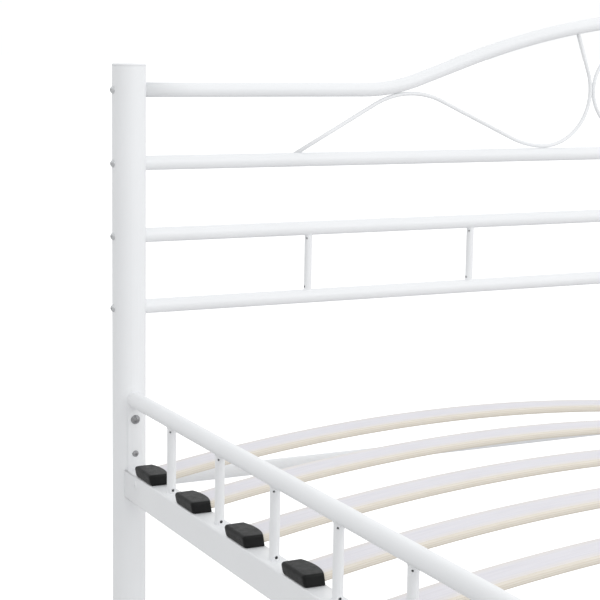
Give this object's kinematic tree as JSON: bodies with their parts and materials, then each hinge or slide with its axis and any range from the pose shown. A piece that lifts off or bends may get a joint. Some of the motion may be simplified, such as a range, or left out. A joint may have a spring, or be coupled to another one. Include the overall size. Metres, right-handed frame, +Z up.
{
  "type": "daybed",
  "caption": "White tubular metal daybed with an arched scroll back, low spindle arms and bowed wooden slats held in black plastic caps.",
  "frame": {"origin": "on the floor, at the centre of the footprint", "axes": "+X along the bed's long side, +Y towards the back panel, +Z up"},
  "size_m": [1.973, 1.124, 0.9815],
  "materials": {
    "frame_paint": "satin white powder coat",
    "caps_white": "satin white moulded plastic",
    "feet": "matt light grey moulded plastic",
    "slats": "bent plywood, pale faces and cream edges",
    "holders": "fine-grained black moulded plastic",
    "fasteners": "bright zinc plate"
  },
  "bodies": {
    "root": {"post_back_left": "frame_paint", "post_back_right": "frame_paint", "post_front_left": "frame_paint", "post_front_right": "frame_paint", "post_cap_back_left": "caps_white", "post_cap_back_right": "caps_white", "post_cap_front_left": "caps_white", "post_cap_front_right": "caps_white", "foot_back_left": "feet", "foot_back_right": "feet", "foot_front_left": "feet", "foot_front_right": "feet", "back_top_rail": "frame_paint", "back_bar_high": "frame_paint", "back_bar_middle": "frame_paint", "back_bar_low": "frame_paint", "back_seat_bar": "frame_paint", "back_spindles": "frame_paint", "scroll_wire_left": "frame_paint", "scroll_wire_right": "frame_paint", "scroll_ring_left": "frame_paint", "scroll_ring_middle": "frame_paint", "scroll_ring_right": "frame_paint", "arm_guard_left": "frame_paint", "arm_guard_right": "frame_paint", "arm_rail_left": "frame_paint", "arm_rail_right": "frame_paint", "arm_spindles_left": "frame_paint", "arm_spindles_right": "frame_paint", "arm_cleats": "frame_paint", "arm_rail_stubs": "fasteners", "front_rail": "frame_paint", "centre_beam": "frame_paint", "beam_hangers": "frame_paint", "centre_leg": "frame_paint", "centre_foot": "feet", "slat_caps_left": "holders", "slat_caps_right": "holders", "slat_double_holders": "holders", "bar_inserts": "fasteners", "bar_screws": "fasteners", "arm_bolts": "fasteners", "arm_small_bolts": "fasteners", "rail_screws": "frame_paint", "front_rail_inserts": "fasteners", "front_rail_bolts": "fasteners", "slat_left_1": "slats", "slat_left_2": "slats", "slat_left_3": "slats", "slat_left_4": "slats", "slat_left_5": "slats", "slat_left_6": "slats", "slat_left_7": "slats", "slat_right_1": "slats", "slat_right_2": "slats", "slat_right_3": "slats", "slat_right_4": "slats", "slat_right_5": "slats", "slat_right_6": "slats", "slat_right_7": "slats"}
  },
  "joints": []
}
